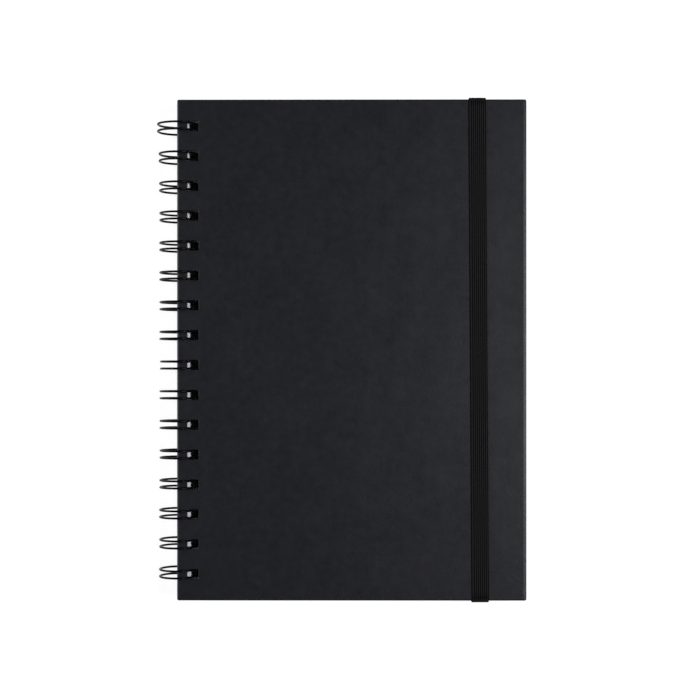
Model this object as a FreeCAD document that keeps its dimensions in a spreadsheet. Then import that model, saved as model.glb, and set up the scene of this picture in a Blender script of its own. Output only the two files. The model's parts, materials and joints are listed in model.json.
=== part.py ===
"""A5 hardback sketchbook with a twin-loop wire binding and an elastic closing band.

The book frame has its origin on the axis of the wire loops, halfway along the spine: +X runs to the
fore-edge, +Y to the head and +Z out through the front cover. Both covers are built in front of the
leaves, and the back one is then turned half a turn about X. Every piece has a Placement that leans
the closed book by the small angle at which it really lies: on its wire loops and on its band.
"""

import FreeCAD
import Part

import math
import os

import Sketcher

DIMENSIONS = [
    ("leaf_width", 145, "leaf, from spine edge to fore-edge"),
    ("leaf_height", 210, "leaf, from head to tail"),
    ("leaf_thickness", 0.18, "drawing paper"),
    ("leaf_gap", 0.01, "air between two leaves"),
    ("leaf_count", 36, "leaves in the book"),
    ("turning_leaves", 10, "leaves at the front that turn one by one"),
    ("page_clearance", 0.03, "air between the leaves and each endpaper"),
    ("spine_overhang", 1.7, "cover, past the leaves at the spine"),
    ("fore_overhang", 1.8, "cover, past the leaves at the fore-edge"),
    ("end_overhang", 1.5, "cover, past the leaves at head and tail"),
    ("board_thickness", 1.75, "greyboard inside each cover"),
    ("skin_thickness", 0.25, "leatherette that wraps each board"),
    ("endpaper_thickness", 0.2, "sheet glued inside each cover"),
    ("endpaper_inset", 3, "bare turn-in left round the endpaper"),
    ("turn_in", 15, "leatherette folded over onto the inside"),
    ("corner_radius", 0.8, "cover corner, seen from the front"),
    ("edge_round", 0.5, "roll of the leatherette over the board's edges"),
    ("spine_gap", 0.15, "cover's spine edge, out from the loops' axis"),
    ("wire_diameter", 0.85, "coated steel wire"),
    ("twin_spacing", 3, "between the two wires of a twin loop"),
    ("loop_pitch", 12.7, "from one twin loop to the next"),
    ("row_margin", 9, "least distance from a leaf's end to the middle of its first hole"),
    ("loop_clearance", 0.13, "inside of a loop, past the hole's outer corner in the closed covers"),
    ("link_bend", 1.2, "bend from a loop into the link beside it"),
    ("link_clearance", 0.36, "between the back cover and the links that run behind it"),
    ("seam_gap", 2.5, "along the loop, from where its tip begins to where the links leave"),
    ("hole_inset", 4.3, "punched hole, in from a sheet's spine edge"),
    ("hole_width", 4.95, "punched hole, across the spine"),
    ("hole_clearance", 0.175, "between a twin loop's wires and the ends of their hole"),
    ("band_width", 7.2, "elastic band"),
    ("band_thickness", 0.65, "elastic band"),
    ("band_inset", 20.7, "middle of the band, in from the cover's fore-edge"),
    ("band_clearance", 0.05, "between the band and what it lies on"),
    ("slot_inset", 8, "slot for the band's end, in from the cover's edge"),
    ("slot_margin", 0.2, "slot, past each side of the band"),
    ("tab_length", 12, "band's end, glued under the back endpaper"),
]

# Places that several pieces share, as expressions on the sheet.
LEAF_PITCH = "(dims.leaf_thickness + dims.leaf_gap)"
INSIDE = f"(dims.leaf_count * {LEAF_PITCH} / 2 + dims.page_clearance)"
BOARD_INSIDE = f"({INSIDE} + dims.endpaper_thickness)"
BOARD_OUTSIDE = f"({BOARD_INSIDE} + dims.board_thickness)"
OUTSIDE = f"({BOARD_OUTSIDE} + dims.skin_thickness)"
COVER_SPINE = "dims.spine_gap"
LEAF_SPINE = "(dims.spine_gap + dims.spine_overhang)"
LEAF_FORE = f"({LEAF_SPINE} + dims.leaf_width)"
COVER_FORE = f"({LEAF_FORE} + dims.fore_overhang)"
HALF_COVER = "(dims.leaf_height / 2 + dims.end_overhang)"
LOOP_INTERVALS = "floor((dims.leaf_height - 2 * dims.row_margin) / dims.loop_pitch)"
FIRST_LOOP = f"({LOOP_INTERVALS} * dims.loop_pitch / 2)"
HOLE_CORNER = f"hypot({COVER_SPINE} + dims.hole_inset; {OUTSIDE})"
LOOP_RADIUS = f"({HOLE_CORNER} + dims.loop_clearance + dims.wire_diameter / 2)"
HALF_HOLE = "((dims.twin_spacing + dims.wire_diameter) / 2 + dims.hole_clearance)"
BAND_MIDDLE = f"({COVER_FORE} - dims.band_inset)"
SLOT_HEIGHT = "(dims.band_thickness + 2 * dims.band_clearance)"
SLOT_OUTER = f"({HALF_COVER} - dims.slot_inset)"
BAND_JOINT = f"(({INSIDE} + {OUTSIDE}) / 2)"

doc = FreeCAD.newDocument("sketchbook")
sheet = doc.addObject("Spreadsheet::Sheet", "dims")
for row, (alias, value, meaning) in enumerate(DIMENSIONS, 1):
    sheet.set(f"A{row}", meaning)
    sheet.set(f"B{row}", str(value))
    sheet.setAlias(f"B{row}", alias)
doc.recompute()


# ---- sketches and features -------------------------------------------------------------------


def origin_feature(body, role):
    """One of the body's own origin planes or axes."""
    return next(feature for feature in body.Origin.OriginFeatures if feature.Role == role)


def new_body(label):
    body = doc.addObject("PartDesign::Body", label)
    body.Label = label
    return body


def new_sketch(body, name, plane="XY_Plane", height="0"):
    """A sketch on an origin plane of the body, moved out along that plane's normal."""
    sketch = body.newObject("Sketcher::SketchObject", name)
    sketch.AttachmentSupport = [(origin_feature(body, plane), "")]
    sketch.MapMode = "FlatFace"
    sketch.setExpression("AttachmentOffset.Base.z", height)
    return sketch


def evaluate(expression):
    """The value that an expression on the sheet has now."""
    return float(sheet.evalExpression(expression))


def outline(sketch, corners):
    """A closed outline of straight lines through corners, each a pair of expressions."""
    points = [FreeCAD.Vector(evaluate(across), evaluate(up), 0) for across, up in corners]
    count = len(points)
    for number in range(count):
        line = Part.LineSegment(points[number], points[(number + 1) % count])
        sketch.addGeometry(line, False)
    for number in range(count):
        sketch.addConstraint(Sketcher.Constraint("Coincident", number, 2, (number + 1) % count, 1))
    for number, expressions in enumerate(corners):
        values = (points[number].x, points[number].y)
        for kind, value, expression in zip(("DistanceX", "DistanceY"), values, expressions):
            place = sketch.addConstraint(Sketcher.Constraint(kind, -1, 1, number, 1, value))
            sketch.setExpression(f"Constraints[{place}]", expression)


def rectangle(sketch, left, right, low, high):
    outline(sketch, [(left, low), (right, low), (right, high), (left, high)])


def cover_outline(sketch, inset):
    """The cover's outline, drawn in by inset on all four sides."""
    rectangle(
        sketch,
        f"{COVER_SPINE} + {inset}",
        f"{COVER_FORE} - {inset}",
        f"-({HALF_COVER} - {inset})",
        f"{HALF_COVER} - {inset}",
    )


def pad(body, sketch, length, both_ways=False):
    feature = body.newObject("PartDesign::Pad", f"{sketch.Name}_pad")
    feature.Profile = sketch
    feature.setExpression("Length", length)
    feature.Midplane = both_ways
    doc.recompute()
    return feature


def pocket(body, sketch, length=None):
    """Cut away from the sketch along +Z, to a depth or, without one, through everything."""
    before = body.Shape.Volume
    feature = body.newObject("PartDesign::Pocket", f"{sketch.Name}_cut")
    feature.Profile = sketch
    feature.Reversed = True
    if length is None:
        feature.Type = "ThroughAll"
    else:
        feature.setExpression("Length", length)
    doc.recompute()
    if not body.Shape.Volume < before:
        raise RuntimeError(f"{feature.Name} removes nothing from {body.Label}")
    return feature


def fillet(body, name, radius, wanted):
    """Round the edges of the body's latest shape that wanted(edge) picks."""
    base = body.Tip
    edges = [f"Edge{n}" for n, edge in enumerate(base.Shape.Edges, 1) if wanted(edge)]
    if not edges:
        raise RuntimeError(f"{name} finds no edge on {body.Label}")
    feature = body.newObject("PartDesign::Fillet", name)
    feature.Base = (base, edges)
    feature.setExpression("Radius", radius)
    doc.recompute()
    return feature


def along(edge, direction):
    """Is the edge a straight one that runs in this direction?"""
    ends = edge.Vertexes[-1].Point - edge.Vertexes[0].Point
    straight = abs(ends.Length - edge.Length) < 1e-6
    return straight and abs(abs(ends.dot(direction)) - ends.Length) < 1e-6


def repeat_along_spine(body, feature):
    """Repeat a cut, made at the head-side end of the row, once for each loop of the wire."""
    before = body.Shape.Volume
    pattern = body.newObject("PartDesign::LinearPattern", f"{feature.Name}_row")
    pattern.Originals = [feature]
    pattern.Direction = (origin_feature(body, "Y_Axis"), [""])
    pattern.Reversed = True
    pattern.setExpression("Length", f"{LOOP_INTERVALS} * dims.loop_pitch")
    pattern.setExpression("Occurrences", f"{LOOP_INTERVALS} + 1")
    body.Tip = pattern
    doc.recompute()
    if abs(body.Shape.Volume - before) < 1e-6:
        raise RuntimeError(f"{pattern.Name} changes nothing on {body.Label}")
    return pattern


def punch_holes(body, spine_edge):
    """The row of holes for the wire, measured from the sheet's own spine edge."""
    sketch = new_sketch(body, f"{body.Name}_hole")
    rectangle(
        sketch,
        f"{spine_edge} + dims.hole_inset",
        f"{spine_edge} + dims.hole_inset + dims.hole_width",
        f"{FIRST_LOOP} - {HALF_HOLE}",
        f"{FIRST_LOOP} + {HALF_HOLE}",
    )
    repeat_along_spine(body, pocket(body, sketch))


# ---- covers ----------------------------------------------------------------------------------

ACROSS = FreeCAD.Vector(1, 0, 0)
THROUGH = FreeCAD.Vector(0, 0, 1)


def round_outline(body, name, radius):
    """Round the four upright edges at the corners of a plate."""
    fillet(body, name, radius, lambda edge: along(edge, THROUGH))


def strap_slot(body, side, first, last):
    """Cut the slot for one end of the band, between two heights."""
    sketch = new_sketch(body, f"{body.Name}_slot", height=first)
    inner = f"({SLOT_OUTER} - {SLOT_HEIGHT})"
    strap_rectangle(sketch, side, inner, SLOT_OUTER)
    pocket(body, sketch, f"{last} - {first}")


def strap_recess(body, side, first, last):
    """Sink the flat bed that the glued end of the band lies in."""
    sketch = new_sketch(body, f"{body.Name}_recess", height=first)
    inner = f"({SLOT_OUTER} - {SLOT_HEIGHT} - dims.tab_length - dims.band_clearance)"
    strap_rectangle(sketch, side, inner, SLOT_OUTER)
    pocket(body, sketch, f"{last} - {first}")


def strap_rectangle(sketch, side, inner, outer):
    """As wide as the band and its margins, on the head side (1) or the tail side (-1)."""
    reach = "(dims.band_width / 2 + dims.slot_margin)"
    low, high = (inner, outer) if side > 0 else (f"-{outer}", f"-{inner}")
    rectangle(sketch, f"{BAND_MIDDLE} - {reach}", f"{BAND_MIDDLE} + {reach}", low, high)


RECESS_FLOOR = f"({BOARD_INSIDE} + {SLOT_HEIGHT})"
SKIN_FOLD = f"({BOARD_INSIDE} + dims.skin_thickness)"


def cover_skin(label, holds_band):
    """Leatherette: the outer face, the four wrapped edges and the turn-ins, all one sheet."""
    body = new_body(label)
    outside = new_sketch(body, f"{label}_outside", height=BOARD_INSIDE)
    cover_outline(outside, "0")
    pad(body, outside, f"{OUTSIDE} - {BOARD_INSIDE}")
    round_outline(body, f"{label}_corners", "dims.corner_radius")
    levels = (evaluate(BOARD_INSIDE), evaluate(OUTSIDE))
    fillet(
        body,
        f"{label}_edges",
        "dims.edge_round",
        lambda edge: any(
            abs(edge.BoundBox.ZMin - level) + abs(edge.BoundBox.ZMax - level) < 1e-6
            for level in levels
        ),
    )
    window = new_sketch(body, f"{label}_window", height=BOARD_INSIDE)
    cover_outline(window, "dims.turn_in")
    pocket(body, window, "dims.skin_thickness")
    board_space = new_sketch(body, f"{label}_board_space", height=SKIN_FOLD)
    cover_outline(board_space, "dims.skin_thickness")
    pocket(body, board_space, f"{BOARD_OUTSIDE} - {SKIN_FOLD}")
    if holds_band:
        for side in (1, -1):
            strap_slot(body, side, BOARD_INSIDE, OUTSIDE)
            strap_recess(body, side, BOARD_INSIDE, SKIN_FOLD)
    punch_holes(body, COVER_SPINE)
    return body


def cover_board(label, holds_band):
    """Greyboard, thinned round its inner side by the thickness of the turn-ins that lie there."""
    body = new_body(label)
    plate = new_sketch(body, f"{label}_plate", height=SKIN_FOLD)
    cover_outline(plate, "dims.skin_thickness")
    pad(body, plate, f"{BOARD_OUTSIDE} - {SKIN_FOLD}")
    step = new_sketch(body, f"{label}_step", height=BOARD_INSIDE)
    cover_outline(step, "dims.turn_in")
    pad(body, step, "dims.skin_thickness")
    if holds_band:
        for side in (1, -1):
            strap_slot(body, side, BOARD_INSIDE, BOARD_OUTSIDE)
            strap_recess(body, side, BOARD_INSIDE, RECESS_FLOOR)
    punch_holes(body, COVER_SPINE)
    return body


def endpaper(label):
    """The sheet that hides the board and the raw edges of the turn-ins."""
    body = new_body(label)
    sketch = new_sketch(body, f"{label}_sheet", height=INSIDE)
    cover_outline(sketch, "dims.endpaper_inset")
    pad(body, sketch, "dims.endpaper_thickness")
    punch_holes(body, COVER_SPINE)
    return body


# ---- leaves ----------------------------------------------------------------------------------


def leaf(label, number):
    """Leaf number, counted from the front cover."""
    body = new_body(label)
    height = f"(dims.leaf_count / 2 - {number}) * {LEAF_PITCH} + dims.leaf_gap / 2"
    sketch = new_sketch(body, f"{label}_sheet", height=height)
    half_height = "dims.leaf_height / 2"
    rectangle(sketch, LEAF_SPINE, LEAF_FORE, f"-{half_height}", half_height)
    pad(body, sketch, "dims.leaf_thickness")
    punch_holes(body, LEAF_SPINE)
    return body


def leaf_stack(label, turning):
    """The leaves behind the turning ones, as separate sheets with air between them."""
    pitch = float(sheet.leaf_thickness) + float(sheet.leaf_gap)
    last = turning[-1].Shape
    sheets = []
    for number in range(1, int(sheet.leaf_count) - len(turning) + 1):
        lower = last.copy()
        lower.translate(FreeCAD.Vector(0, 0, -number * pitch))
        sheets.append(lower)
    stack = doc.addObject("Part::Feature", label)
    stack.Label = label
    stack.Shape = Part.makeCompound(sheets)
    return stack


# ---- wire ------------------------------------------------------------------------------------


def loop_path(middle):
    """The wire's centre line through one twin loop, from half a link to the next half link.

    It comes along a link behind the back cover, bends up into the first loop, goes all the way
    round, crosses over in a rounded tip and comes back round the second loop to the next link.
    """
    radius = evaluate(LOOP_RADIUS)
    bend = float(sheet.link_bend)
    half_twin = float(sheet.twin_spacing) / 2
    half_pitch = float(sheet.loop_pitch) / 2
    link_depth = evaluate(OUTSIDE) + float(sheet.link_clearance) + float(sheet.wire_diameter) / 2
    below = math.asin(link_depth / math.hypot(radius, bend)) + math.atan2(bend, radius)
    root = 2 * math.pi - below
    tip = float(sheet.seam_gap) / radius - below
    onwards = FreeCAD.Vector(-math.sin(root), 0, math.cos(root))
    past_tip = FreeCAD.Vector(math.sin(tip), 0, -math.cos(tip))

    def on_loop(angle, along_spine):
        return FreeCAD.Vector(
            radius * math.cos(angle), middle + along_spine, radius * math.sin(angle)
        )

    def arc(start, through, end):
        return Part.Arc(start, through, end).toShape()

    def run(start, end):
        return Part.LineSegment(start, end).toShape()

    def link(along_spine):
        return on_loop(root, along_spine) + onwards * bend

    def bend_middle(side):
        centre = on_loop(root, side * (half_twin + bend))
        reach = bend * math.sqrt(0.5)
        return centre + onwards * reach - FreeCAD.Vector(0, side * reach, 0)

    halfway = (tip + root) / 2
    corner = half_twin + bend
    return Part.Wire(
        [
            run(link(-half_pitch), link(-corner)),
            arc(link(-corner), bend_middle(-1), on_loop(root, -half_twin)),
            arc(on_loop(root, -half_twin), on_loop(halfway, -half_twin), on_loop(tip, -half_twin)),
            arc(
                on_loop(tip, -half_twin),
                on_loop(tip, 0) + past_tip * half_twin,
                on_loop(tip, half_twin),
            ),
            arc(on_loop(tip, half_twin), on_loop(halfway, half_twin), on_loop(root, half_twin)),
            arc(on_loop(root, half_twin), bend_middle(1), link(corner)),
            run(link(corner), link(half_pitch)),
        ]
    )


def binding_wire(label):
    """One wire, bent into twin loops: a round section swept along the path of the head-most one."""
    path = doc.addObject("Part::Feature", f"{label}_path")
    path.Shape = loop_path(evaluate(FIRST_LOOP))
    start = path.Shape.Vertexes[0].Point
    body = new_body(label)
    section = new_sketch(
        body,
        f"{label}_section",
        plane="XZ_Plane",
        height=f"dims.loop_pitch / 2 - {FIRST_LOOP}",
    )
    circle = Part.Circle(FreeCAD.Vector(start.x, start.z, 0), FreeCAD.Vector(0, 0, 1), 1)
    section.addGeometry(circle, False)
    section.addConstraint(Sketcher.Constraint("DistanceX", -1, 1, 0, 3, start.x))
    section.addConstraint(Sketcher.Constraint("DistanceY", -1, 1, 0, 3, start.z))
    size = section.addConstraint(Sketcher.Constraint("Radius", 0, 1))
    section.setExpression(f"Constraints[{size}]", "dims.wire_diameter / 2")
    sweep = body.newObject("PartDesign::AdditivePipe", f"{label}_loop")
    sweep.Profile = section
    sweep.Spine = (path, [f"Edge{n}" for n in range(1, len(path.Shape.Edges) + 1)])
    doc.recompute()
    swept = path.Shape.Length * math.pi * (float(sheet.wire_diameter) / 2) ** 2
    if abs(sweep.Shape.Volume / swept - 1) > 1e-3:
        raise RuntimeError("the wire's volume isn't its section times its length")
    repeat_along_spine(body, sweep)
    return body


# ---- elastic band ----------------------------------------------------------------------------

STRAP_OUTSIDE = f"({OUTSIDE} + dims.band_clearance + dims.band_thickness)"
STRAP_INSIDE = f"({OUTSIDE} + dims.band_clearance)"
STRAP_END_OUTER = f"({HALF_COVER} + dims.band_clearance + dims.band_thickness)"
STRAP_END_INNER = f"({HALF_COVER} + dims.band_clearance)"
INNER_BEND = "(dims.edge_round + dims.band_clearance)"
OUTER_BEND = f"({INNER_BEND} + dims.band_thickness)"


def bend_strap(body, name, radius, places):
    """Round the strap's folds that run across the book at the given (y, z) places."""

    def wanted(edge):
        middle = edge.CenterOfMass
        return along(edge, ACROSS) and any(
            math.hypot(middle.y - across, middle.z - up) < 1e-3 for across, up in places
        )

    fillet(body, name, radius, wanted)


def front_band(label):
    """The run over the front cover and its two legs, down over the ends of the closed book."""
    body = new_body(label)
    section = new_sketch(body, f"{label}_section", plane="YZ_Plane", height=BAND_MIDDLE)
    foot = f"-{BAND_JOINT}"
    outline(
        section,
        [
            (f"-{STRAP_END_OUTER}", foot),
            (f"-{STRAP_END_INNER}", foot),
            (f"-{STRAP_END_INNER}", STRAP_INSIDE),
            (STRAP_END_INNER, STRAP_INSIDE),
            (STRAP_END_INNER, foot),
            (STRAP_END_OUTER, foot),
            (STRAP_END_OUTER, STRAP_OUTSIDE),
            (f"-{STRAP_END_OUTER}", STRAP_OUTSIDE),
        ],
    )
    pad(body, section, "dims.band_width", both_ways=True)
    inner = (evaluate(STRAP_END_INNER), evaluate(STRAP_INSIDE))
    outer = (evaluate(STRAP_END_OUTER), evaluate(STRAP_OUTSIDE))
    bend_strap(body, f"{label}_inner_bends", INNER_BEND, [inner, (-inner[0], inner[1])])
    bend_strap(body, f"{label}_outer_bends", OUTER_BEND, [outer, (-outer[0], outer[1])])
    return body


def band_end(label, side):
    """One end of the band: round the cover's edge, in through its slot and under the endpaper."""
    body = new_body(label)
    section = new_sketch(body, f"{label}_section", plane="YZ_Plane", height=BAND_MIDDLE)
    sign = "" if side > 0 else "-"
    slot_outer = f"({SLOT_OUTER} - dims.band_clearance)"
    slot_inner = f"({slot_outer} - dims.band_thickness)"
    tab_inside = f"({BOARD_INSIDE} + dims.band_clearance)"
    tab_outside = f"({tab_inside} + dims.band_thickness)"
    tab_end = f"({slot_inner} - dims.tab_length)"
    profile = [
        (STRAP_END_INNER, BAND_JOINT),
        (STRAP_END_OUTER, BAND_JOINT),
        (STRAP_END_OUTER, STRAP_OUTSIDE),
        (slot_inner, STRAP_OUTSIDE),
        (slot_inner, tab_outside),
        (tab_end, tab_outside),
        (tab_end, tab_inside),
        (slot_outer, tab_inside),
        (slot_outer, STRAP_INSIDE),
        (STRAP_END_INNER, STRAP_INSIDE),
    ]
    outline(section, [(f"{sign}{across}", up) for across, up in profile])
    pad(body, section, "dims.band_width", both_ways=True)
    inner = (side * evaluate(STRAP_END_INNER), evaluate(STRAP_INSIDE))
    outer = (side * evaluate(STRAP_END_OUTER), evaluate(STRAP_OUTSIDE))
    bend_strap(body, f"{label}_inner_bend", INNER_BEND, [inner])
    bend_strap(body, f"{label}_outer_bend", OUTER_BEND, [outer])
    slot_folds = [
        (side * evaluate(slot_inner), evaluate(STRAP_OUTSIDE)),
        (side * evaluate(slot_outer), evaluate(tab_inside)),
    ]
    bend_strap(body, f"{label}_slot_folds", "dims.band_thickness * 0.8", slot_folds)
    return body


# ---- the book --------------------------------------------------------------------------------

front_cover = [
    cover_skin("front_cover_skin", holds_band=False),
    cover_board("front_board", holds_band=False),
    endpaper("front_endpaper"),
]
turning = [
    leaf(f"leaf_{number:02d}", number) for number in range(1, int(sheet.turning_leaves) + 1)
]
upright = front_cover + turning + [leaf_stack("leaf_stack", turning)]
upright += [binding_wire("binding_wire"), front_band("elastic_band")]
turned_over = [
    cover_skin("back_cover_skin", holds_band=True),
    cover_board("back_board", holds_band=True),
    endpaper("back_endpaper"),
    band_end("elastic_end_tail", 1),
    band_end("elastic_end_head", -1),
]
subparts = upright + turned_over

# The closed book touches the table with its loops and with the band's edge nearest the fore-edge.
loop_reach = evaluate(LOOP_RADIUS) + float(sheet.wire_diameter) / 2
band_edge = evaluate(BAND_MIDDLE) + float(sheet.band_width) / 2
band_depth = evaluate(STRAP_OUTSIDE)
lean = math.asin(loop_reach / math.hypot(band_edge, band_depth)) - math.atan2(band_depth, band_edge)

# The origin is under the middle of the book, between the loops' back and the front cover's edge.
lean_turn = FreeCAD.Rotation(FreeCAD.Vector(0, 1, 0), math.degrees(lean))
fore_edge = evaluate(COVER_FORE) * math.cos(lean)
fore_edge += (evaluate(OUTSIDE) - float(sheet.edge_round)) * math.sin(lean)
middle = (fore_edge - loop_reach) / 2
lying = FreeCAD.Placement(FreeCAD.Vector(-middle, 0, loop_reach), lean_turn)
half_turn = FreeCAD.Placement(FreeCAD.Vector(), FreeCAD.Rotation(ACROSS, 180))
for subpart in upright:
    subpart.Placement = lying
for subpart in turned_over:
    subpart.Placement = lying * half_turn
doc.recompute()

for thing in doc.Objects:
    if "Invalid" in thing.State or "Error" in thing.State:
        raise RuntimeError(f"{thing.Name} is {thing.State}")
for subpart in subparts:
    if subpart.Shape.isNull() or not subpart.Shape.isValid():
        raise RuntimeError(f"{subpart.Label} has no valid shape")

os.makedirs("parts", exist_ok=True)
for subpart in subparts:
    subpart.Shape.exportStep(f"parts/{subpart.Label}.step")
print(f"loops' axis at x {-middle:.4f}, z {loop_reach:.4f} mm, leaning {math.degrees(lean):.4f} degrees")
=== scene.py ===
"""The looks of an A5 wire-bound sketchbook: leatherette covers, drawing paper, wire and band.

Pieces are made in the book's own frame: X from the wire loops' axis to the fore-edge, Y to the
head, Z out through the front cover. LYING then leans each one as the closed book really lies.
"""

import json
import math
import random

import bmesh
import bpy
from mathutils import Matrix, Vector

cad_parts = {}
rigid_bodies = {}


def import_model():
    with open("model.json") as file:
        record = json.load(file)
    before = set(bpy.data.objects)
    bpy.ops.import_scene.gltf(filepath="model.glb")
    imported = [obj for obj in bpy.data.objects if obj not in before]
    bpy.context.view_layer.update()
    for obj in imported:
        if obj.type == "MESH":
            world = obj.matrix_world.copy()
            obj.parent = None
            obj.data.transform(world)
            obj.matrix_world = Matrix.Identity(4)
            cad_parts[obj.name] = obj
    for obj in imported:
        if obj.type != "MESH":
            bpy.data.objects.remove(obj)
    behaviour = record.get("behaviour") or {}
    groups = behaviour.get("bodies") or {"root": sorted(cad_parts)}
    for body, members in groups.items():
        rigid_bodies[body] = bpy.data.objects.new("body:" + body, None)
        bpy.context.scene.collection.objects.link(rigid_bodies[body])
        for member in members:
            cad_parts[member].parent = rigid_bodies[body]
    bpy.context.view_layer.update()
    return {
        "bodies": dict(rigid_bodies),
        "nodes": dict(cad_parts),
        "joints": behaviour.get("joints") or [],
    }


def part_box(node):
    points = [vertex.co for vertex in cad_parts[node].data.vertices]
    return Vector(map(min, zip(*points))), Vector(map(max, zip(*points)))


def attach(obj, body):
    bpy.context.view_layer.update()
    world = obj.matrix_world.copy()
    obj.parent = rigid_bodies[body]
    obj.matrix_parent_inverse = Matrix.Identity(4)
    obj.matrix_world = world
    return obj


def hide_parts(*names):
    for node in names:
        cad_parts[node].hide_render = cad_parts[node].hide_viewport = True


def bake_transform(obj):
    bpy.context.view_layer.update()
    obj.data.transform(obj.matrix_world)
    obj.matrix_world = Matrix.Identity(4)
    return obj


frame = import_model()

MM = 0.001
QUARTER = math.pi / 2
TINY = 1e-6

# ---- the book's sizes ------------------------------------------------------------------------

joints = {joint["name"]: joint for joint in frame["joints"]}
LOOP_AXIS = Vector(joints["cover_hinge"]["pos_m"])
PULL = Vector(joints["band_pull"]["axis"])
LEAN = math.atan2(-PULL.z, PULL.x)
LYING = Matrix.Translation(LOOP_AXIS) @ Matrix.Rotation(LEAN, 4, "Y")
HALF_TURN = Matrix.Rotation(math.pi, 4, "X")

LEAF_WIDTH = 145 * MM
LEAF_HEIGHT = 210 * MM
LEAF_THICKNESS = 0.18 * MM
LEAF_PITCH = 0.19 * MM
LEAF_COUNT = 36
SPINE_OVERHANG = 1.7 * MM
FORE_OVERHANG = 1.8 * MM
END_OVERHANG = 1.5 * MM
SPINE_GAP = 0.15 * MM
PAGE_CLEARANCE = 0.03 * MM

ENDPAPER_THICKNESS = 0.2 * MM
SKIN_THICKNESS = 0.25 * MM
BOARD_THICKNESS = 1.75 * MM
TURN_IN = 15 * MM
LIP_INSET = 0.04 * MM
LIP_DEPTH = 0.6 * MM
LIP_ROUND = 0.28 * MM
RIM_MARGIN = 0.1 * MM
CORNER_RADIUS = 0.8 * MM
EDGE_ROUND = 0.5 * MM
CUT_EDGE_ROUND = 0.05 * MM
OUTER_ROLL = 0.75 * MM

INSIDE = LEAF_COUNT * LEAF_PITCH / 2 + PAGE_CLEARANCE
BOARD_INSIDE = INSIDE + ENDPAPER_THICKNESS
OUTSIDE = BOARD_INSIDE + BOARD_THICKNESS + SKIN_THICKNESS
COVER_SPINE = SPINE_GAP
LEAF_SPINE = SPINE_GAP + SPINE_OVERHANG
LEAF_FORE = LEAF_SPINE + LEAF_WIDTH
COVER_FORE = LEAF_FORE + FORE_OVERHANG
FORE_EDGE = (LYING @ Vector((COVER_FORE, 0, OUTSIDE))).x
HALF_COVER = LEAF_HEIGHT / 2 + END_OVERHANG

WIRE_RADIUS = 0.425 * MM
EXTRA_COAT = 0.035 * MM
HALF_TWIN = 1.5 * MM
LOOP_PITCH = 12.7 * MM
LOOP_COUNT = 16
HOLE_INSET = 4.3 * MM
HOLE_WIDTH = 4.95 * MM
HALF_HOLE = 2.1 * MM
LOOP_RADIUS = -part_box("binding_wire")[0].x + LOOP_AXIS.x - WIRE_RADIUS
LINK_BEND = 1.2 * MM
LINK_CLEARANCE = 0.36 * MM
LINK_DEPTH = OUTSIDE + LINK_CLEARANCE + WIRE_RADIUS
SEAM_GAP = 2.5 * MM

BAND_WIDTH = 7.2 * MM
BAND_THICKNESS = 0.65 * MM
BAND_CLEARANCE = 0.05 * MM
BAND_INSET = 20.7 * MM
BAND_MIDDLE = COVER_FORE - BAND_INSET
BAND_FOLD = 0.4 * MM
SLOT_INSET = 8 * MM
SLOT_OUTER = HALF_COVER - SLOT_INSET
SLOT_HEIGHT = BAND_THICKNESS + 2 * BAND_CLEARANCE
SLOT_MARGIN = 0.2 * MM
SLOT_REACH = BAND_WIDTH / 2 + SLOT_MARGIN
TAB_LENGTH = 12 * MM
BAND_SHIFT = 0.4 * MM
BAND_LEAN = 0.66 * MM
RIBS = 8
RIB_POWER = 0.6
RIB_PITCH = 0.85 * MM
WIDE_RIB = RIB_PITCH + (BAND_WIDTH - RIBS * RIB_PITCH) / 2
GROOVE_DEPTH = 0.2 * MM
STRAP_EDGE = 0.6 * MM
EDGE_SHARE = 0.55
COLUMNS_PER_RIB = 6
FRONT_STEP = 3 * MM
END_STEP = 0.35 * MM
WEFT_PITCH = 0.42 * MM

LOOP_MIDDLES = [(number - (LOOP_COUNT - 1) / 2) * LOOP_PITCH for number in range(LOOP_COUNT)]

# ---- shader building -------------------------------------------------------------------------


class Signal:
    """One output of a shader node. Arithmetic on it adds Math nodes."""

    def __init__(self, finish, socket):
        self.finish = finish
        self.socket = socket

    def maths(self, operation, *others):
        return self.finish.node("Math", {"operation": operation}, dict(enumerate((self,) + others)))

    def __add__(self, other):
        return self.maths("ADD", other)

    def __sub__(self, other):
        return self.maths("SUBTRACT", other)

    def __mul__(self, other):
        return self.maths("MULTIPLY", other)

    def __truediv__(self, other):
        return self.maths("DIVIDE", other)

    def __rsub__(self, other):
        return self.finish.node("Math", {"operation": "SUBTRACT"}, {0: other, 1: self})

    __radd__ = __add__
    __rmul__ = __mul__

    def limited(self):
        return self.finish.node("Clamp", {}, {"Value": self})


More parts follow.
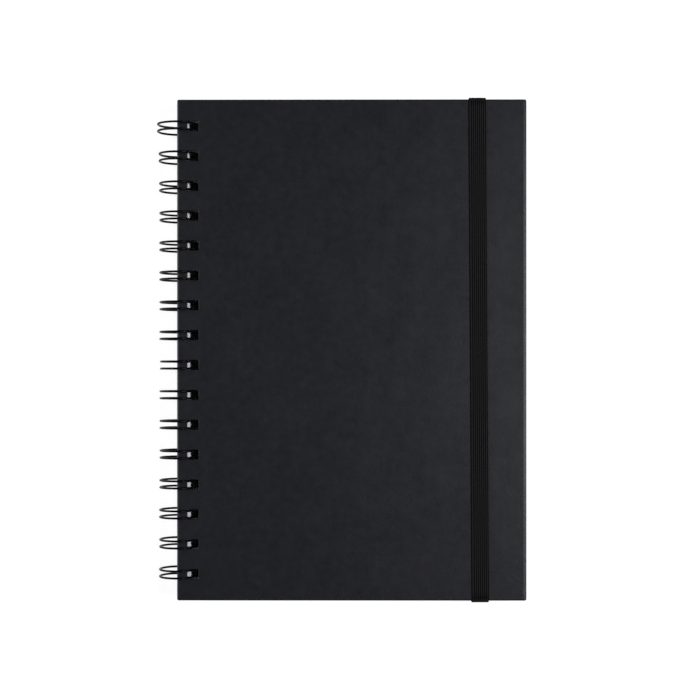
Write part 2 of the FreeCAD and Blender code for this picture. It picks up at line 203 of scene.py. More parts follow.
class Finish:
    """A material with one Principled shader, whose other nodes are added by node()."""

    def __init__(self, name, **constants):
        self.material = bpy.data.materials.new(name)
        self.material.use_nodes = True
        self.tree = self.material.node_tree
        self.shader = self.tree.nodes["Principled BSDF"]
        for socket, value in constants.items():
            self.shader.inputs[socket.replace("_", " ")].default_value = value

    def node(self, kind, settings, inputs, output=0):
        added = self.tree.nodes.new(f"ShaderNode{kind}")
        for name, value in settings.items():
            if name == "stops":
                self.set_stops(added.color_ramp, value)
            else:
                setattr(added, name, value)
        for name, value in inputs.items():
            if isinstance(value, Signal):
                self.tree.links.new(value.socket, added.inputs[name])
            else:
                added.inputs[name].default_value = value
        return Signal(self, added.outputs[output])

    @staticmethod
    def set_stops(ramp, stops):
        while len(ramp.elements) < len(stops):
            ramp.elements.new(0.5)
        for element, (place, level) in zip(ramp.elements, stops):
            element.position = place
            element.color = (level, level, level, 1)

    def object_place(self, stretch=(1, 1, 1)):
        """The point on the piece, in metres, stretched along each axis."""
        place = self.node("TexCoord", {}, {}, "Object")
        return self.node("Mapping", {}, {"Vector": place, "Scale": stretch})

    def cloud(self, size, place=None, detail=3.0, roughness=0.55):
        """Smooth noise, about 0 to 1, with lumps of this size in metres."""
        inputs = {"Scale": 1 / size, "Detail": detail, "Roughness": roughness}
        inputs["Vector"] = place or self.object_place()
        return self.node("TexNoise", {}, inputs, "Fac")

    def cells(self, size, place):
        """Distance to the middle of rounded cells of this size in metres."""
        inputs = {"Vector": place, "Scale": 1 / size, "Smoothness": 0.6}
        return self.node("TexVoronoi", {"feature": "SMOOTH_F1"}, inputs, "Distance")

    def rise(self, axis, start, end):
        """0 on the piece before start on this axis, 1 past end, and an even slope between."""
        place = self.part(self.object_place(), axis)
        return ((place - start) / (end - start)).limited()

    def part(self, vector, axis):
        """One axis of a vector."""
        return self.node("SeparateXYZ", {}, {"Vector": vector}, axis)

    def wave(self, kind, angle):
        """The sine or cosine of an angle."""
        return self.node("Math", {"operation": kind}, {0: angle})

    def ramp(self, signal, *stops):
        """A level for each signal, straight between stops of (signal, level)."""
        return self.node("ValToRGB", {"stops": stops}, {"Fac": signal})

    def mix(self, amount, first, second):
        """From the first colour to the second, as amount goes from 0 to 1."""
        settings = {"data_type": "RGBA"}
        return self.node("Mix", settings, {0: amount, 6: first, 7: second}, 2)

    def colour(self, amount, first, second):
        """Colour the material with a mix of two colours."""
        self.feed("Base Color", self.mix(amount, (*first, 1), (*second, 1)))

    def feed(self, socket, signal):
        self.tree.links.new(signal.socket, self.shader.inputs[socket])

    def bump(self, height, depth, strength=1.0, under=None):
        """Relief whose height signal of 1 stands this many metres high."""
        inputs = {"Height": height, "Distance": depth, "Strength": strength}
        if under is not None:
            inputs["Normal"] = under
        return self.node("Bump", {}, inputs)


# ---- finishes --------------------------------------------------------------------------------


def leatherette():
    """Black coated paper with a shallow pebbled grain and faint drawn streaks along the cover.

    It is rubbed shiny along the fore-edge, and creased where a hand lifts the cover.
    """
    finish = Finish("black_leatherette", Specular_IOR_Level=0.38, Coat_Roughness=0.3)

    wander = finish.cloud(1.6 * MM, detail=2.0)
    drift = finish.node("CombineXYZ", {}, {"X": wander, "Y": wander, "Z": wander})
    drift = finish.node("VectorMath", {"operation": "SCALE"}, {0: drift, "Scale": 0.5 * MM})
    place = finish.node("VectorMath", {"operation": "ADD"}, {0: finish.object_place(), 1: drift})
    pebbles = 1 - finish.cells(0.62 * MM, place)
    pores = finish.cloud(0.16 * MM, detail=2.0)
    streaks = finish.cloud(1.0, finish.object_place((260, 34, 260)), detail=4.0)
    mottle = finish.cloud(17 * MM, detail=4.0)
    patches = finish.cloud(3.5 * MM, detail=4.0, roughness=0.7)
    rubbed = finish.rise("X", FORE_EDGE - 1.4 * MM, FORE_EDGE - 0.5 * MM)
    brink = finish.rise("X", FORE_EDGE - 0.65 * MM, FORE_EDGE - 0.4 * MM)
    handled = finish.rise("X", FORE_EDGE - 20 * MM, FORE_EDGE - 7 * MM)
    handled = handled * finish.rise("Y", -45 * MM, -75 * MM)
    creases = finish.cloud(1.0, finish.object_place((110, 230, 230)), detail=1.5)
    creases = finish.ramp(creases, (0.46, 0), (0.5, 1), (0.54, 0))
    creases = creases * finish.ramp(finish.cloud(11 * MM, detail=1.0), (0.46, 0), (0.58, 1))

    tone = (mottle * 0.3 + streaks * 0.12 + patches * 0.58 - 0.28) * 2.2
    finish.colour(tone.limited(), (0.0056, 0.0061, 0.0096), (0.0100, 0.0106, 0.0144))
    dullness = mottle * 0.06 + streaks * 0.04 + patches * 0.14 + pores * 0.06
    finish.feed("Roughness", (0.26 + dullness + brink * 0.4).limited())
    finish.feed("Coat Weight", 0.55 * rubbed * (1 - brink))

    relief = finish.bump(pebbles * 0.75 + pores * 0.25, 0.06 * MM, 0.4)
    relief = finish.bump(streaks, 0.05 * MM, 0.35, relief)
    relief = finish.bump(finish.cloud(26 * MM, detail=1.0), 0.35 * MM, 1.0, relief)
    relief = finish.bump(1 - rubbed, 0.08 * MM, 1.0, relief)
    finish.feed("Normal", finish.bump(creases * handled, 0.03 * MM, 1.0, relief))
    return finish.material


def greyboard():
    """Pressed waste-paper board: cool grey, with darker fibres and flecks."""
    finish = Finish("greyboard", Specular_IOR_Level=0.2)
    fibres = finish.cloud(1.0, finish.object_place((2400, 2400, 9000)), detail=3.0)
    flecks = finish.ramp(finish.cloud(0.5 * MM, detail=2.0), (0.42, 0), (0.62, 1))
    finish.colour((fibres * 0.5 + flecks * 0.5).limited(), (0.19, 0.187, 0.20), (0.38, 0.372, 0.39))
    finish.feed("Roughness", 0.85 + fibres * 0.1)
    finish.feed("Normal", finish.bump(fibres, 0.05 * MM, 0.6))
    return finish.material


def paper(name, dark, light, tooth, leaf_tones=0.0):
    """Uncoated paper: a soft tooth, clouded fibres, and leaves that differ a little in tone."""
    finish = Finish(name, Specular_IOR_Level=0.25)
    clouding = finish.cloud(6 * MM, detail=4.0)
    fibres = finish.cloud(0.35 * MM, detail=3.0, roughness=0.7)
    tone = clouding * (0.7 - leaf_tones) + fibres * 0.3
    if leaf_tones:
        leaf_tone = finish.node("Attribute", {"attribute_name": "leaf_tone"}, {}, "Fac")
        tone = tone + leaf_tone * leaf_tones
    finish.colour(tone.limited(), dark, light)
    finish.feed("Roughness", 0.82 + fibres * 0.12)
    finish.feed("Normal", finish.bump(fibres, tooth, 0.5))
    return finish.material


def coated_wire():
    """Steel wire in a thin black nylon coat, a little uneven where it was bent."""
    finish = Finish("black_wire", Specular_IOR_Level=0.07, Coat_Weight=0.04, Coat_Roughness=0.18)
    orange_peel = finish.cloud(0.5 * MM, detail=2.0)
    rubbed = finish.ramp(finish.cloud(2.5 * MM, detail=3.0), (0.45, 0), (0.75, 1))
    finish.colour(rubbed, (0.0016, 0.0016, 0.0024), (0.0040, 0.0040, 0.0052))
    finish.feed("Roughness", 0.30 + rubbed * 0.14)
    finish.feed("Normal", finish.bump(orange_peel, 0.02 * MM, 0.35))
    return finish.material


def woven_elastic():
    """Braided elastic: cords of rubber run lengthwise, and fine weft threads cross them, with
    painted shade in the grooves between cords.
    """
    finish = Finish("black_elastic", Specular_IOR_Level=0.05)
    cloth = finish.node("UVMap", {"uv_map": "strap"}, {})
    threads = finish.part(cloth, "X") * (math.pi / WEFT_PITCH)
    ribs = finish.part(cloth, "Y") * (math.pi / RIB_PITCH)
    weft = finish.wave("SINE", threads * 2)
    twill = finish.wave("SINE", threads + ribs)
    # Painted shade: 1 on the cords' crowns and 0 in the grooves, used only to darken the colour
    # there.
    crown = 0.5 - finish.wave("COSINE", ribs * 2) * 0.5
    fuzz = finish.cloud(0.2 * MM, detail=3.0)
    height = weft * 0.2 + twill * 0.15 + fuzz * 0.5 + 0.4
    # Painted shade: the colour is darkest in the grooves between cords and where the weave lies
    # low, lightest on the crowns.
    tone = crown * 0.95 + height * 0.3 - 0.2
    finish.colour(tone.limited(), (0.0002, 0.0002, 0.0003), (0.0165, 0.0165, 0.0180))
    finish.feed("Roughness", (0.62 + fuzz * 0.2).limited())
    finish.feed("Normal", finish.bump(height, 0.09 * MM, 0.7))
    return finish.material


LEATHERETTE = leatherette()
GREYBOARD = greyboard()
ENDPAPER = paper("endpaper", (0.74, 0.72, 0.67), (0.84, 0.82, 0.78), 0.012 * MM)
DRAWING_PAPER = paper(
    "drawing_paper", (0.76, 0.755, 0.76), (0.90, 0.895, 0.90), 0.02 * MM, leaf_tones=0.35
)
WIRE = coated_wire()
ELASTIC = woven_elastic()


# ---- mesh helpers ----------------------------------------------------------------------------


def finished(name, bm, material, place, body, replaced, smooth=True):
    """A piece from a bmesh made in the book's frame, put in its place and set on its body."""
    mesh = bpy.data.meshes.new(name)
    bm.to_mesh(mesh)
    bm.free()
    mesh.transform(place)
    mesh.materials.append(material)
    piece = bpy.data.objects.new(name, mesh)
    bpy.context.scene.collection.objects.link(piece)
    if smooth:
        mesh.shade_smooth()
    if body is not None:
        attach(piece, body)
    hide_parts(*replaced)
    return piece


def add_to(whole, piece):
    """Put one bmesh into another."""
    mesh = bpy.data.meshes.new("added")
    piece.to_mesh(mesh)
    piece.free()
    whole.from_mesh(mesh)
    bpy.data.meshes.remove(mesh)


def cut_across(bm, point, normal):
    """Divide every face that a plane crosses."""
    everything = bm.verts[:] + bm.edges[:] + bm.faces[:]
    bmesh.ops.bisect_plane(bm, geom=everything, dist=1e-7, plane_co=point, plane_no=normal)


def plate(left, right, half_height, low, high):
    """A closed rectangular plate."""
    bm = bmesh.new()
    size = Vector((right - left, 2 * half_height, high - low))
    middle = Vector(((left + right) / 2, 0, (low + high) / 2))
    placed = Matrix.Translation(middle) @ Matrix.Diagonal((*size, 1))
    bmesh.ops.create_cube(bm, size=1, matrix=placed)
    return bm


def round_over(bm, edges, radius, segments, clamped=False):
    """Bevel edges to an arc of this radius."""
    bmesh.ops.bevel(
        bm, geom=edges, offset=radius, affect="EDGES", segments=segments, profile=0.5,
        material=-1, clamp_overlap=clamped,
    )


def is_level(face):
    """Does the face point mostly up or down?"""
    return abs(face.normal.z) > 0.5


def divide_for_holes(bm, hole_left, half_hole, hole_width=HOLE_WIDTH):
    """Lines along the sides of every punched hole."""
    for across in (hole_left, hole_left + hole_width):
        cut_across(bm, (across, 0, 0), (1, 0, 0))
    for middle in LOOP_MIDDLES:
        for side in (-1, 1):
            cut_across(bm, (0, middle + side * half_hole, 0), (0, 1, 0))


def in_hole(face, hole_left, half_hole=HALF_HOLE):
    """Does the face cover one of the punched holes?"""
    centre = face.calc_center_median()
    within = hole_left < centre.x < hole_left + HOLE_WIDTH
    return within and any(abs(centre.y - middle) < half_hole for middle in LOOP_MIDDLES)


def punched_leaf(low, high):
    """A leaf with its row of square holes cut right through it."""
    bm = plate(LEAF_SPINE, LEAF_FORE, LEAF_HEIGHT / 2, low, high)
    divide_for_holes(bm, LEAF_HOLE_LEFT, LEAF_HALF_HOLE)
    level = [face for face in bm.faces if is_level(face)]
    punched = [face for face in level if in_hole(face, LEAF_HOLE_LEFT, LEAF_HALF_HOLE)]
    bmesh.ops.delete(bm, geom=punched, context="FACES")
    rims = [edge for edge in bm.edges if edge.is_boundary]
    for middle in LOOP_MIDDLES:
        bmesh.ops.bridge_loops(bm, edges=[edge for edge in rims if is_near(edge, middle)])
    bmesh.ops.recalc_face_normals(bm, faces=bm.faces[:])
    return bm


def is_near(edge, loop_middle):
    """Is the edge within half a pitch of a loop's middle, along the spine?"""
    along_spine = (edge.verts[0].co.y + edge.verts[1].co.y) / 2
    return abs(along_spine - loop_middle) < LOOP_PITCH / 2


# ---- covers ----------------------------------------------------------------------------------


def wrapped_skin(with_slots):
    """Leatherette as one sheet: outer face, rolled edges and turn-ins, open over the board."""
    hole_left = COVER_SPINE + HOLE_INSET + LIP_INSET
    half_hole = HALF_HOLE - LIP_INSET
    bm = plate(COVER_SPINE, COVER_FORE, HALF_COVER, BOARD_INSIDE, OUTSIDE)
    divide_for_holes(bm, hole_left, half_hole, HOLE_WIDTH - 2 * LIP_INSET)
    for across in (COVER_SPINE + TURN_IN, COVER_FORE - TURN_IN):
        cut_across(bm, (across, 0, 0), (1, 0, 0))
    for side in (-1, 1):
        cut_across(bm, (0, side * (HALF_COVER - TURN_IN), 0), (0, 1, 0))
    if with_slots:
        for side in (-1, 1):
            cut_across(bm, (BAND_MIDDLE + side * SLOT_REACH, 0, 0), (1, 0, 0))
            cut_across(bm, (0, side * SLOT_OUTER, 0), (0, 1, 0))
            cut_across(bm, (0, side * (SLOT_OUTER - SLOT_HEIGHT), 0), (0, 1, 0))

    def in_window(centre):
        across = COVER_SPINE + TURN_IN < centre.x < COVER_FORE - TURN_IN
        return centre.z < OUTSIDE - MM and across and abs(centre.y) < HALF_COVER - TURN_IN

    def in_slot(centre):
        across = abs(centre.x - BAND_MIDDLE) < SLOT_REACH
        return with_slots and across and SLOT_OUTER - SLOT_HEIGHT < abs(centre.y) < SLOT_OUTER

    opened = []
    for face in bm.faces:
        centre = face.calc_center_median()
        through = in_hole(face, hole_left) or in_window(centre) or in_slot(centre)
        if is_level(face) and through:
            opened.append(face)
    bmesh.ops.delete(bm, geom=opened, context="FACES")
    rims = [edge for edge in bm.edges if edge.is_boundary and is_outer_rim(edge)]
    drawn = bmesh.ops.extrude_edge_only(bm, edges=rims)["geom"]
    lowered = [part for part in drawn if isinstance(part, bmesh.types.BMVert)]
    bmesh.ops.translate(bm, verts=lowered, vec=(0, 0, -LIP_DEPTH))
    bmesh.ops.recalc_face_normals(bm, faces=bm.faces[:])
    lips = [edge for edge in rims if len(edge.link_faces) == 2]
    round_over(bm, lips, LIP_ROUND, segments=3)

    corners = [edge for edge in bm.edges if is_upright(edge) and not edge.is_boundary]
    corners = [edge for edge in corners if at_corner(edge.verts[0].co)]
    round_over(bm, corners, CORNER_RADIUS, segments=4)
    for level, rounding in ((OUTSIDE, OUTER_ROLL), (BOARD_INSIDE, EDGE_ROUND)):
        rolls = [edge for edge in bm.edges if len(edge.link_faces) == 2 and is_roll(edge, level)]
        round_over(bm, rolls, rounding, segments=6, clamped=True)
    return bm


def is_outer_rim(edge):
    """Is this an edge of the outer face round one of its punched openings?"""
    return all(vertex.co.z > OUTSIDE - RIM_MARGIN for vertex in edge.verts)


def is_upright(edge):
    """Does the edge run mostly up or down?"""
    along = edge.verts[1].co - edge.verts[0].co
    return abs(along.z) > 0.9 * along.length


def at_corner(place):
    """Is this one of the cover's four outer corners?"""
    at_side = min(abs(place.x - COVER_SPINE), abs(place.x - COVER_FORE)) < TINY
    return at_side and abs(abs(place.y) - HALF_COVER) < TINY


def is_roll(edge, level):
    """Does the edge lie between an upright side of the cover and its face at this level?"""
    at_level = all(abs(vertex.co.z - level) < TINY for vertex in edge.verts)
    return at_level and sum(is_level(face) for face in edge.link_faces) == 1


def cover(side, body, place):
    """One cover: its skin, and the finishes of the greyboard and endpaper inside it."""
    skin = finished(
        f"{side}_leatherette", wrapped_skin(with_slots=side == "back"), LEATHERETTE, place, body,
        [f"{side}_cover_skin"],
    )
    thicken = skin.modifiers.new("thickness", "SOLIDIFY")
    thicken.thickness = SKIN_THICKNESS
    thicken.offset = -1
    thicken.use_even_offset = True
    soften = skin.modifiers.new("cut_edges", "BEVEL")
    soften.width = CUT_EDGE_ROUND
    soften.segments = 2
    soften.limit_method = "ANGLE"
    soften.angle_limit = math.radians(50)
    skin.data.set_sharp_from_angle(angle=math.radians(40))
    flatten = skin.modifiers.new("flat_faces", "WEIGHTED_NORMAL")
    flatten.mode = "FACE_AREA"
    flatten.weight = 100
    flatten.keep_sharp = True
    frame["nodes"][f"{side}_board"].data.materials[0] = GREYBOARD
    frame["nodes"][f"{side}_endpaper"].data.materials[0] = ENDPAPER


cover("front", "front_cover", LYING)
cover("back", "book_block", LYING @ HALF_TURN)


# ---- leaves ----------------------------------------------------------------------------------

hand = random.Random(7)
LEAVES_ASKEW = Matrix.Rotation(math.radians(0.26), 3, "Z")
LEAF_HOLE_EASE = 0.3 * MM
LEAF_HALF_HOLE = HALF_HOLE + LEAF_HOLE_EASE
LEAF_HOLE_INSET = 3.3 * MM
LEAF_HOLE_LEFT = LEAF_SPINE + LEAF_HOLE_INSET
LEAF_SLIP = 0.12 * MM


def leaf(number):
    """One punched leaf, counted from the front, trimmed and knocked up a hair unevenly."""
    tone = hand.uniform(0, 1)
    high = (LEAF_COUNT / 2 - number + 1) * LEAF_PITCH - (LEAF_PITCH - LEAF_THICKNESS) / 2
    bm = punched_leaf(high - LEAF_THICKNESS, high)
    slip = (hand.uniform(-LEAF_SLIP, LEAF_SLIP), hand.uniform(-LEAF_SLIP, LEAF_SLIP), 0)
    bmesh.ops.translate(bm, verts=bm.verts[:], vec=slip)
    bmesh.ops.rotate(bm, verts=bm.verts[:], cent=(LEAF_SPINE, 0, 0), matrix=LEAVES_ASKEW)
    layer = bm.verts.layers.float.new("leaf_tone")
    for vertex in bm.verts:
        vertex[layer] = tone
    return bm


TURNING = sorted(name for name in frame["bodies"] if name.startswith("leaf_"))
for number, body in enumerate(TURNING, 1):
    finished(
        f"sheet_{number:02d}", leaf(number), DRAWING_PAPER, LYING, body, [body],
        smooth=False,
    )


def sheet_block():
    """The leaves behind the turning ones."""
    block = bmesh.new()
    for number in range(len(TURNING) + 1, LEAF_COUNT + 1):
        add_to(block, leaf(number))
    return block


finished(
    "sheet_block", sheet_block(), DRAWING_PAPER, LYING, "book_block",
    ["leaf_stack"], smooth=False,
)


# ---- wire ------------------------------------------------------------------------------------

BELOW = math.atan2(LINK_BEND, LOOP_RADIUS)
BELOW += math.asin(LINK_DEPTH / math.hypot(LOOP_RADIUS, LINK_BEND))
ROOT = 2 * math.pi - BELOW
TIP = SEAM_GAP / LOOP_RADIUS - BELOW
LOOP_STEPS = 72
TIP_STEPS = 12
BEND_STEPS = 6
WIRE_SIDES = 12

BULGE_FROM = 2 * MM
BULGE_OVER = 9 * MM
HEAD_BULGE = 1.1 * MM
FOOT_BULGE = 0.3 * MM
BULGE_POWER = 9
LEAST_BULGE = -0.4 * MM
MOST_BULGE = -0.1 * MM


def on_loop(angle, along_spine):
    """A point on the wire's circle, at this angle from the X axis towards Z."""
    return Vector((LOOP_RADIUS * math.cos(angle), along_spine, LOOP_RADIUS * math.sin(angle)))


def one_loop(middle, bulge):
    """A pitch of wire as its maker bends it: link, loop, rounded tip, loop back, link.

    The loop bulges this far away from the book.
    """
    bm = bmesh.new()
    onwards = Vector((-math.sin(ROOT), 0, math.cos(ROOT)))
    outwards_at_root = Vector((math.cos(ROOT), 0, math.sin(ROOT)))
    outwards_at_tip = Vector((math.cos(TIP), 0, math.sin(TIP)))
    start = on_loop(ROOT, middle - LOOP_PITCH / 2) + onwards * LINK_BEND
    bmesh.ops.create_circle(
        bm, segments=WIRE_SIDES, radius=WIRE_RADIUS + EXTRA_COAT,
        matrix=Matrix.Translation(start) @ Matrix.Rotation(QUARTER, 4, "X"),
    )
    section = bm.edges[:]

    def bend(section, centre, axis, angle, steps):
        swept = bmesh.ops.spin(
            bm, geom=section, cent=centre, axis=axis, angle=angle, steps=steps, use_merge=False
        )
        return [part for part in swept["geom_last"] if isinstance(part, bmesh.types.BMEdge)]

    def straight(section, length):
        drawn = bmesh.ops.extrude_edge_only(bm, edges=section)["geom"]
        fresh = {part for part in drawn if isinstance(part, bmesh.types.BMVert)}
        bmesh.ops.translate(bm, verts=list(fresh), vec=(0, length, 0))
        edges = [part for part in drawn if isinstance(part, bmesh.types.BMEdge)]
        return [edge for edge in edges if set(edge.verts) <= fresh]

    half_link = LOOP_PITCH / 2 - HALF_TWIN - LINK_BEND
    root_one = on_loop(ROOT, middle - HALF_TWIN - LINK_BEND)
    root_two = on_loop(ROOT, middle + HALF_TWIN + LINK_BEND)
    section = straight(section, half_link)
    section = bend(section, root_one, outwards_at_root, -QUARTER, BEND_STEPS)
    section = bend(section, (0, 0, 0), (0, 1, 0), ROOT - TIP, LOOP_STEPS)
    section = bend(section, on_loop(TIP, middle), outwards_at_tip, math.pi, TIP_STEPS)
    section = bend(section, (0, 0, 0), (0, 1, 0), TIP - ROOT, LOOP_STEPS)
    section = bend(section, root_two, outwards_at_root, -QUARTER, BEND_STEPS)
    straight(section, half_link)
    for vertex in bm.verts:
        clear_of_book = min(max((BULGE_FROM - vertex.co.x) / BULGE_OVER, 0), 1)
        vertex.co.x -= bulge * clear_of_book ** 2
    return bm


def bent_wire():
    """The whole wire, loop by loop, each pressed round a little differently."""
    wire = bmesh.new()
    for number, middle in enumerate(LOOP_MIDDLES):
        from_foot = number / (LOOP_COUNT - 1)
        bulge = HEAD_BULGE * from_foot ** BULGE_POWER
        bulge += FOOT_BULGE * (1 - from_foot) ** BULGE_POWER
        add_to(wire, one_loop(middle, bulge + hand.uniform(LEAST_BULGE, MOST_BULGE)))
    bmesh.ops.remove_doubles(wire, verts=wire.verts[:], dist=TINY)
    bmesh.ops.holes_fill(wire, edges=[edge for edge in wire.edges if edge.is_boundary])
    bmesh.ops.recalc_face_normals(wire, faces=wire.faces[:])
    return wire


finished(
    "twin_loop_wire", bent_wire(), WIRE, LYING, "book_block", ["binding_wire"]
)


# ---- elastic band ----------------------------------------------------------------------------


class Route:
    """A line in the Y-Z plane made of straight runs and round folds, walked by its length."""

    def __init__(self, across, up, heading):
        self.parts = []
        self.length = 0
        self.place = Vector((0, across, up))
        self.heading = heading

    @staticmethod
    def direction(heading):
        return Vector((0, math.cos(heading), math.sin(heading)))

    def run(self, length):
        self.parts.append((self.length, length, self.place.copy(), self.heading, 0))
        self.place += self.direction(self.heading) * length
        self.length += length
        return self

    def fold(self, radius, angle):
        length = radius * abs(angle)
        self.parts.append((self.length, length, self.place.copy(), self.heading, angle))
        self.place = self.at(self.length + length)[0]
        self.heading += angle
        self.length += length
        return self

    def at(self, distance):
        """(place, left-hand normal) at this distance along the route."""
        for begin, length, place, heading, angle in self.parts:
            if distance <= begin + length + 1e-9:
                break
        done = distance - begin
        if angle == 0:
            return place + self.direction(heading) * done, self.direction(heading + QUARTER)
        radius = length / abs(angle)
        side = math.copysign(QUARTER, angle)
        centre = place + self.direction(heading + side) * radius
        turned = heading + angle * done / length
        return centre - self.direction(turned + side) * radius, self.direction(turned + QUARTER)


def over_ribs(across):
    """Distance from the strap's left edge, as if its wide first cord were like the rest."""
    from_left = across + BAND_WIDTH / 2
    if from_left < WIDE_RIB:
        return from_left / WIDE_RIB * RIB_PITCH
    return from_left - WIDE_RIB + RIB_PITCH


def half_thickness(across):
    """Half the strap's thickness here: round cords side by side, thinner towards both edges."""
    crown = abs(math.sin(math.pi * over_ribs(across) / RIB_PITCH)) ** RIB_POWER
    from_edge = min((BAND_WIDTH / 2 - abs(across)) / STRAP_EDGE, 1)
    rounded = math.sqrt(1 - (1 - max(from_edge, 0)) ** 2)
    roundness = EDGE_SHARE + (1 - EDGE_SHARE) * rounded
    return (BAND_THICKNESS / 2 - GROOVE_DEPTH * (1 - crown)) * roundness


def strap(route, step, lean_at, mirrored=False):
    """A ribbed strap laid along a route, with its lengths kept in a UV map."""
    bm = bmesh.new()
    steps = max(2, round(route.length / step))
    columns = round(BAND_WIDTH / (RIB_PITCH / COLUMNS_PER_RIB))
    bmesh.ops.create_grid(
        bm, x_segments=columns, y_segments=steps, size=0.5,
        matrix=Matrix.Diagonal((BAND_WIDTH, route.length, 1, 1)),
    )
    uv = bm.loops.layers.uv.new("strap")
    for face in bm.faces:
        for corner in face.loops:
            corner[uv].uv = (corner.vert.co.y, over_ribs(corner.vert.co.x))
    bmesh.ops.solidify(bm, geom=bm.faces[:], thickness=BAND_THICKNESS)
    low = min(vertex.co.z for vertex in bm.verts)
    for vertex in bm.verts:
        across = vertex.co.x
        distance = min(max(vertex.co.y + route.length / 2, 0), route.length)
        face_side = 1 if vertex.co.z - low > BAND_THICKNESS / 2 else -1
        place, normal = route.at(distance)
        vertex.co = place + normal * face_side * half_thickness(across)
        vertex.co.x = BAND_MIDDLE + across + lean_at(distance)
    if mirrored:
        bmesh.ops.scale(bm, vec=(1, -1, 1), verts=bm.verts[:])
    bmesh.ops.recalc_face_normals(bm, faces=bm.faces[:])
    return bm


STRAP_LEVEL = OUTSIDE + BAND_CLEARANCE + BAND_THICKNESS / 2
END_LEVEL = HALF_COVER + BAND_CLEARANCE + BAND_THICKNESS / 2
END_FOLD = EDGE_ROUND + BAND_CLEARANCE + BAND_THICKNESS / 2
TAB_LEVEL = BOARD_INSIDE + BAND_CLEARANCE + BAND_THICKNESS / 2
SLOT_MIDDLE = SLOT_OUTER - BAND_CLEARANCE - BAND_THICKNESS / 2
SEAM = HALF_COVER - EDGE_ROUND - 0.4 * MM

finished(
    "strap_front",
    strap(
        Route(-SEAM, STRAP_LEVEL, 0).run(2 * SEAM),
        FRONT_STEP,
        lambda distance: BAND_SHIFT + BAND_LEAN * (1 - distance / SEAM),
    ),
    ELASTIC, LYING, "elastic_band", ["elastic_band"],
)

# From the glued tab out through the slot, round both covers' edges and onto the front.
end_route = (
    Route(SLOT_MIDDLE - TAB_LENGTH, -TAB_LEVEL, 0)
    .run(TAB_LENGTH - BAND_FOLD)
    .fold(BAND_FOLD, -QUARTER)
    .run(STRAP_LEVEL - TAB_LEVEL - 2 * BAND_FOLD)
    .fold(BAND_FOLD, QUARTER)
    .run(END_LEVEL - END_FOLD - SLOT_MIDDLE - BAND_FOLD)
    .fold(END_FOLD, QUARTER)
    .run(2 * (STRAP_LEVEL - END_FOLD))
    .fold(END_FOLD, QUARTER)
    .run(END_LEVEL - END_FOLD - SEAM)
)


def end_lean(way):
    """How an end leans, from straight in its slot to the front strap's place at the seam."""
    in_slot = TAB_LENGTH + STRAP_LEVEL - TAB_LEVEL

    def lean_at(distance):
        share = min(max((distance - in_slot) / (end_route.length - in_slot), 0), 1)
        return (BAND_SHIFT - way * BAND_LEAN) * share

    return lean_at


for side, way in (("head", 1), ("tail", -1)):
    end = finished(
        f"strap_{side}", strap(end_route, END_STEP, end_lean(way), mirrored=way < 0), ELASTIC,
        LYING, None, [f"elastic_end_{side}"],
    )
    LYING @ Vector((BAND_MIDDLE, way * SLOT_OUTER, -STRAP_LEVEL))
    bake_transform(end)


# ---- stage -----------------------------------------------------------------------------------

# The painted shade under the book: how far it stays inside the covers, and how wide its edge fades.
PAINTED_SHADE_INSET = 3.5 * MM
PAINTED_SHADE_END_INSET = 5 * MM
PAINTED_SHADE_EDGE = 2 * MM
TABLE_REACH = 4
TABLE_GLOW = 0.775
BACKDROP_GLOW = 0.79
AMBIENT_GLOW = 0.06


def light_table():
    """A plain white table that glows softly, with painted shade just where the book lies: dark
    there and without glow.
    """
    finish = Finish("table", Specular_IOR_Level=0.0, Roughness=0.9, Emission_Strength=TABLE_GLOW)
    clouding = finish.cloud(0.4, detail=2.0)
    place = finish.object_place()
    # Painted shade under the book: a dark patch without glow, a little inside the book's footprint.
    half_painted_shade = {
        "X": -LOOP_AXIS.x - COVER_SPINE - PAINTED_SHADE_INSET,
        "Y": HALF_COVER - PAINTED_SHADE_END_INSET,
    }
    outside = 0
    for axis, reach in half_painted_shade.items():
        away = finish.node("Math", {"operation": "ABSOLUTE"}, {0: finish.part(place, axis)})
        outside = finish.node("Math", {"operation": "MAXIMUM"}, {0: away - reach, 1: outside})
    outside = (outside / PAINTED_SHADE_EDGE).limited()
    pale = finish.mix(clouding, (0.44, 0.44, 0.44, 1), (0.46, 0.46, 0.46, 1))
    # Painted shade: dark base colour and no glow inside the patch, so the holes look black.
    finish.feed("Base Color", finish.mix(outside, (0.03, 0.03, 0.03, 1), pale))
    finish.feed("Emission Color", finish.ramp(outside, (0, 0), (1, 1)))
    return finish.material


def area_light(name, place, width, height, power):
    """A rectangular softbox that faces the book."""
    lamp = bpy.data.lights.new(name, "AREA")
    lamp.shape = "RECTANGLE"
    lamp.size = width
    lamp.size_y = height
    lamp.energy = power
    light = bpy.data.objects.new(name, lamp)
    light.location = place
    light.rotation_euler = (-Vector(place)).to_track_quat("-Z", "Y").to_euler()
    bpy.context.scene.collection.objects.link(light)


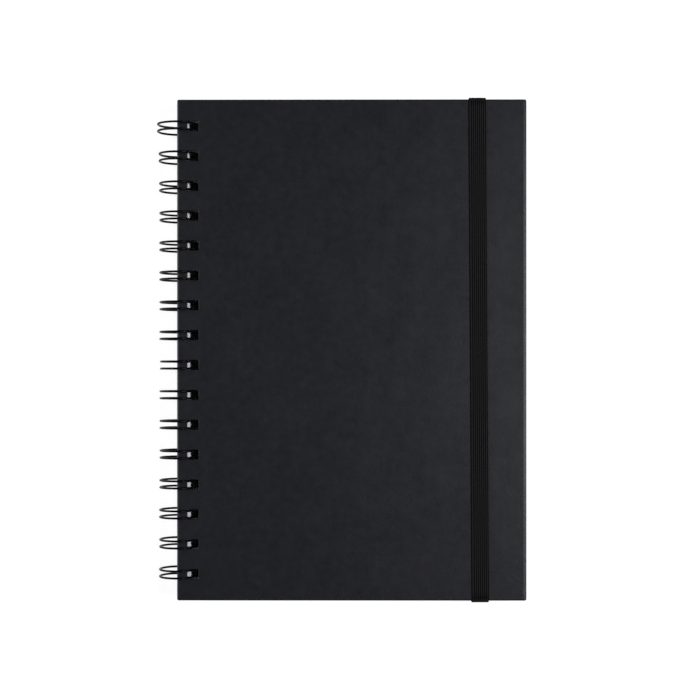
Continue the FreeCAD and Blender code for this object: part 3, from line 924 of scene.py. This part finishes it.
def studio_world():
    """Dim surroundings that light the book a little, behind a plain white backdrop."""
    world = bpy.data.worlds.new("studio")
    world.use_nodes = True
    tree = world.node_tree
    dim = tree.nodes["Background"]
    dim.inputs["Strength"].default_value = AMBIENT_GLOW
    white = tree.nodes.new("ShaderNodeBackground")
    white.inputs["Strength"].default_value = BACKDROP_GLOW
    for background in (dim, white):
        background.inputs["Color"].default_value = (1, 1, 1, 1)
    choice = tree.nodes.new("ShaderNodeMixShader")
    seen = tree.nodes.new("ShaderNodeLightPath")
    tree.links.new(seen.outputs["Is Camera Ray"], choice.inputs[0])
    tree.links.new(dim.outputs[0], choice.inputs[1])
    tree.links.new(white.outputs[0], choice.inputs[2])
    tree.links.new(choice.outputs[0], tree.nodes["World Output"].inputs["Surface"])
    return world


floor_maker = bmesh.new()
bmesh.ops.create_grid(floor_maker, x_segments=1, y_segments=1, size=TABLE_REACH)
floor_mesh = bpy.data.meshes.new("floor")
floor_maker.to_mesh(floor_mesh)
floor_maker.free()
floor_mesh.materials.append(light_table())
floor = bpy.data.objects.new("floor", floor_mesh)
bpy.context.scene.collection.objects.link(floor)

area_light("left_softbox", place=(-1.35, 0.2, 0.6), width=0.8, height=1.6, power=22)
area_light("right_softbox", place=(0.58, 0.0, 0.70), width=0.33, height=0.26, power=5.6)
bpy.context.scene.world = studio_world()
bpy.context.scene.view_settings.view_transform = "Standard"

COVER_MIDDLE = LYING @ Vector(((COVER_SPINE + COVER_FORE) / 2, 0, OUTSIDE))
VIEW_WIDTH = 297.1 * MM
CAMERA_HEIGHT = 570 * MM
VIEW_SPINEWARD = 0.7 * MM
AXIS_BELOW = 11 * MM
VIEW_LEAN = 0.0185
SENSOR_WIDTH = 36

camera_data = bpy.data.cameras.new("camera")
camera_data.sensor_width = SENSOR_WIDTH
camera_data.lens = SENSOR_WIDTH * CAMERA_HEIGHT / VIEW_WIDTH
camera_data.shift_y = AXIS_BELOW / VIEW_WIDTH
camera_data.clip_start = 0.01
camera = bpy.data.objects.new("camera", camera_data)
camera.location = (
    COVER_MIDDLE.x - VIEW_SPINEWARD + math.sin(VIEW_LEAN) * CAMERA_HEIGHT,
    -AXIS_BELOW,
    COVER_MIDDLE.z + CAMERA_HEIGHT,
)
camera.rotation_euler = (0, VIEW_LEAN, 0)
bpy.context.scene.collection.objects.link(camera)
bpy.context.scene.camera = camera
